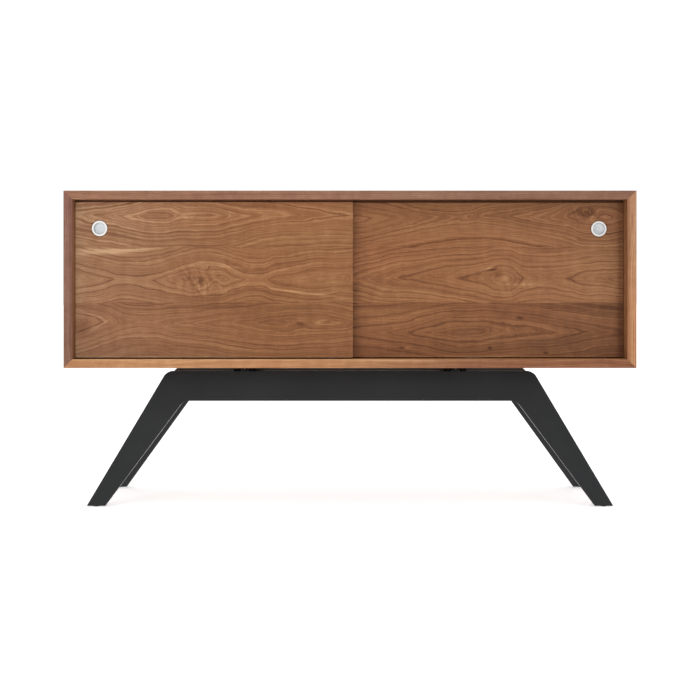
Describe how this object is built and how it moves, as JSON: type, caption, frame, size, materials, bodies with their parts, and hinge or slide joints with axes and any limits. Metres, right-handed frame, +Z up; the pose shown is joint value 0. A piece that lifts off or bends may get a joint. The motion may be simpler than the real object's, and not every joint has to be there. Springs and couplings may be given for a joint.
{
  "type": "media cabinet",
  "caption": "Low wooden media cabinet: a mitred case with bypass sliding doors and flush round pulls, standing on a splayed black trestle base.",
  "frame": {"origin": "on the floor under the middle of the cabinet", "axes": "+X to the right along the width, -Y out of the front, +Z up"},
  "size_m": [1.524, 0.4697, 0.85],
  "materials": {
    "walnut_veneer": "satin lacquered walnut veneer",
    "walnut_lipping": "satin lacquered solid walnut",
    "black_lacquer": "satin black lacquer over hardwood",
    "satin_aluminium": "turned and satin brushed",
    "track_plastic": "dark extruded plastic",
    "nylon": "black nylon",
    "black_plastic": "moulded black plastic",
    "zinc_steel": "zinc plated",
    "black_steel": "black oxide steel",
    "birch": "raw birch, hidden in the joints",
    "brass": "plain turned brass"
  },
  "bodies": {
    "cabinet": {"top_panel": "walnut_veneer", "bottom_panel": "walnut_veneer", "side_panel_left": "walnut_veneer", "side_panel_right": "walnut_veneer", "front_lipping_top": "walnut_lipping", "front_lipping_bottom": "walnut_lipping", "front_lipping_left": "walnut_lipping", "front_lipping_right": "walnut_lipping", "mitre_splines": "birch", "back_panel": "walnut_veneer", "back_panel_screws": "zinc_steel", "cable_grommets": "black_plastic", "center_divider": "walnut_veneer", "divider_dowels": "birch", "shelf_left": "walnut_veneer", "shelf_right": "walnut_veneer", "shelf_pins": "zinc_steel", "upper_track": "track_plastic", "lower_track": "track_plastic", "mount_spacers": "black_plastic", "mount_washers": "zinc_steel", "mount_bolts": "black_steel", "front_beam": "black_lacquer", "front_leg_left": "black_lacquer", "front_leg_right": "black_lacquer", "rear_beam": "black_lacquer", "rear_leg_left": "black_lacquer", "rear_leg_right": "black_lacquer", "stretcher_left": "black_lacquer", "stretcher_right": "black_lacquer", "leg_tenons": "birch", "stretcher_dowels": "birch", "threaded_inserts": "brass", "foot_pads": "nylon"},
    "door_left": {"door_panel_left": "walnut_veneer", "door_pull_left": "satin_aluminium", "door_glides_left": "nylon"},
    "door_right": {"door_panel_right": "walnut_veneer", "door_pull_right": "satin_aluminium", "door_glides_right": "nylon"}
  },
  "joints": [
    {"name": "door_left_slide", "type": "slide", "parent": "cabinet", "child": "door_left", "axis": [1, 0, 0], "range_m": [0, 0.73]},
    {"name": "door_right_slide", "type": "slide", "parent": "cabinet", "child": "door_right", "axis": [1, 0, 0], "range_m": [-0.73, 0]}
  ]
}
